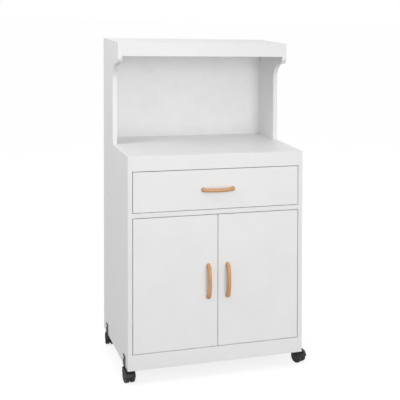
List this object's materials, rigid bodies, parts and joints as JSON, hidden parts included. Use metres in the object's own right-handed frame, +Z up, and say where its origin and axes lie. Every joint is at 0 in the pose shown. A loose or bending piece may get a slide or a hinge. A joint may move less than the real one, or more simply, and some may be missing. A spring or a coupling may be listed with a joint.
{
  "type": "microwave cart",
  "caption": "Kitchen cart on swivel casters with an open microwave bay above a worktop, a drawer and a cupboard with doors.",
  "frame": {"origin": "on the floor, under the middle of the cabinet from side to side, and midway between the handles' fronts and the rear edges of the side boards", "axes": "+Z up, +Y towards the back, +X to the right as seen from the front"},
  "size_m": [0.6333, 0.3849, 1.076],
  "materials": {
    "white_melamine": "white melamine film on chipboard, fine satin",
    "drawer_board": "white foil on chipboard, matt",
    "white_hardboard": "hardboard lacquered white, matt",
    "beech_handle": "turned and bent beech, clear lacquer",
    "beech_dowel": "fluted beech, bare",
    "white_enamelled_steel": "white enamel on pressed sheet steel",
    "nylon_roller": "moulded white nylon",
    "nickelled_steel": "nickel on pressed steel",
    "zinc_steel": "bright zinc on steel",
    "black_painted_steel": "black paint on pressed steel",
    "black_nylon_hood": "moulded black nylon, fine grain",
    "black_nylon_wheel": "moulded dark grey nylon"
  },
  "bodies": {
    "cabinet": {"side_panel_left": "white_melamine", "side_panel_right": "white_melamine", "worktop": "white_melamine", "worktop_rail": "white_melamine", "top_shelf": "white_melamine", "top_rail": "white_melamine", "mid_board": "white_melamine", "bottom_board": "white_melamine", "plinth": "white_melamine", "back_panel_lower": "white_hardboard", "back_panel_upper": "white_hardboard", "cabinet_shelf": "white_melamine", "shelf_pins": "zinc_steel", "cam_fasteners": "zinc_steel", "wood_dowels": "beech_dowel", "back_panel_screws": "zinc_steel", "runner_cabinet_left": "white_enamelled_steel", "runner_cabinet_right": "white_enamelled_steel", "hinge_arms_left": "nickelled_steel", "hinge_arms_right": "nickelled_steel", "hinge_screws": "zinc_steel", "caster_brackets": "black_painted_steel", "caster_bracket_screws": "zinc_steel"},
    "drawer": {"drawer_front": "white_melamine", "drawer_side_left": "drawer_board", "drawer_side_right": "drawer_board", "drawer_back": "drawer_board", "drawer_bottom": "white_hardboard", "drawer_handle": "beech_handle", "drawer_fasteners": "zinc_steel", "runner_drawer_left": "white_enamelled_steel", "runner_drawer_right": "white_enamelled_steel"},
    "front_rollers": {"front_roller_left": "nylon_roller", "front_roller_right": "nylon_roller"},
    "rear_rollers": {"rear_roller_left": "nylon_roller", "rear_roller_right": "nylon_roller"},
    "left_door": {"door_left": "white_melamine", "door_handle_left": "beech_handle", "door_handle_screws_left": "zinc_steel", "hinge_cups_left": "nickelled_steel", "hinge_pins_left": "nickelled_steel"},
    "right_door": {"door_right": "white_melamine", "door_handle_right": "beech_handle", "door_handle_screws_right": "zinc_steel", "hinge_cups_right": "nickelled_steel", "hinge_pins_right": "nickelled_steel"},
    "caster_front_left": {"caster_hood_front_left": "black_nylon_hood", "caster_pins_front_left": "zinc_steel"},
    "wheels_front_left": {"caster_wheels_front_left": "black_nylon_wheel"},
    "brake_front_left": {"brake_lever_front_left": "black_nylon_hood"},
    "caster_front_right": {"caster_hood_front_right": "black_nylon_hood", "caster_pins_front_right": "zinc_steel"},
    "wheels_front_right": {"caster_wheels_front_right": "black_nylon_wheel"},
    "brake_front_right": {"brake_lever_front_right": "black_nylon_hood"},
    "caster_rear_left": {"caster_hood_rear_left": "black_nylon_hood", "caster_pins_rear_left": "zinc_steel"},
    "wheels_rear_left": {"caster_wheels_rear_left": "black_nylon_wheel"},
    "caster_rear_right": {"caster_hood_rear_right": "black_nylon_hood", "caster_pins_rear_right": "zinc_steel"},
    "wheels_rear_right": {"caster_wheels_rear_right": "black_nylon_wheel"}
  },
  "joints": [
    {"name": "drawer_slide", "type": "slide", "parent": "cabinet", "child": "drawer", "axis": [0, -1, 0], "range_m": [0, 0.24]},
    {"name": "front_roller_turn", "type": "hinge", "parent": "cabinet", "child": "front_rollers", "pos_m": [0, -0.1395, 0.5691], "axis": [1, 0, 0], "range_deg": [0, 1530]},
    {"name": "rear_roller_turn", "type": "hinge", "parent": "drawer", "child": "rear_rollers", "pos_m": [0, 0.1375, 0.5691], "axis": [1, 0, 0], "range_deg": [0, 1530]},
    {"name": "left_door_hinge", "type": "hinge", "parent": "cabinet", "child": "left_door", "pos_m": [-0.263, -0.1595, 0.31325], "axis": [0, 0, -1], "range_deg": [0, 100]},
    {"name": "right_door_hinge", "type": "hinge", "parent": "cabinet", "child": "right_door", "pos_m": [0.263, -0.1595, 0.31325], "axis": [0, 0, 1], "range_deg": [0, 100]},
    {"name": "caster_front_left_swivel", "type": "hinge", "parent": "cabinet", "child": "caster_front_left", "pos_m": [-0.2925, -0.1195, 0.046], "axis": [0, 0, 1], "continuous": true},
    {"name": "wheels_front_left_roll", "type": "hinge", "parent": "caster_front_left", "child": "wheels_front_left", "pos_m": [-0.2903, -0.14039, 0.02], "axis": [0.9945, 0.1045, 0], "continuous": true},
    {"name": "brake_front_left_press", "type": "hinge", "parent": "caster_front_left", "child": "brake_front_left", "pos_m": [-0.28874, -0.1553, 0.0394], "axis": [0.9945, 0.1045, 0], "range_deg": [0, 12]},
    {"name": "caster_front_right_swivel", "type": "hinge", "parent": "cabinet", "child": "caster_front_right", "pos_m": [0.2925, -0.1195, 0.046], "axis": [0, 0, 1], "continuous": true},
    {"name": "wheels_front_right_roll", "type": "hinge", "parent": "caster_front_right", "child": "wheels_front_right", "pos_m": [0.30104, -0.13868, 0.02], "axis": [0.9135, 0.4067, 0], "continuous": true},
    {"name": "brake_front_right_press", "type": "hinge", "parent": "caster_front_right", "child": "brake_front_right", "pos_m": [0.30714, -0.15239, 0.0394], "axis": [0.9135, 0.4067, 0], "range_deg": [0, 12]},
    {"name": "caster_rear_left_swivel", "type": "hinge", "parent": "cabinet", "child": "caster_rear_left", "pos_m": [-0.2925, 0.1375, 0.046], "axis": [0, 0, 1], "continuous": true},
    {"name": "wheels_rear_left_roll", "type": "hinge", "parent": "caster_rear_left", "child": "wheels_rear_left", "pos_m": [-0.28601, 0.15747, 0.02], "axis": [-0.9511, 0.309, 0], "continuous": true},
    {"name": "caster_rear_right_swivel", "type": "hinge", "parent": "cabinet", "child": "caster_rear_right", "pos_m": [0.2925, 0.1375, 0.046], "axis": [0, 0, 1], "continuous": true},
    {"name": "wheels_rear_right_roll", "type": "hinge", "parent": "caster_rear_right", "child": "wheels_rear_right", "pos_m": [0.28813, 0.15804, 0.02], "axis": [-0.9781, -0.2079, 0], "continuous": true}
  ],
  "couplings": [
    {"joint": "front_roller_turn", "follows": "drawer_slide", "rad_per_m": 111.11},
    {"joint": "rear_roller_turn", "follows": "drawer_slide", "rad_per_m": 111.11}
  ]
}
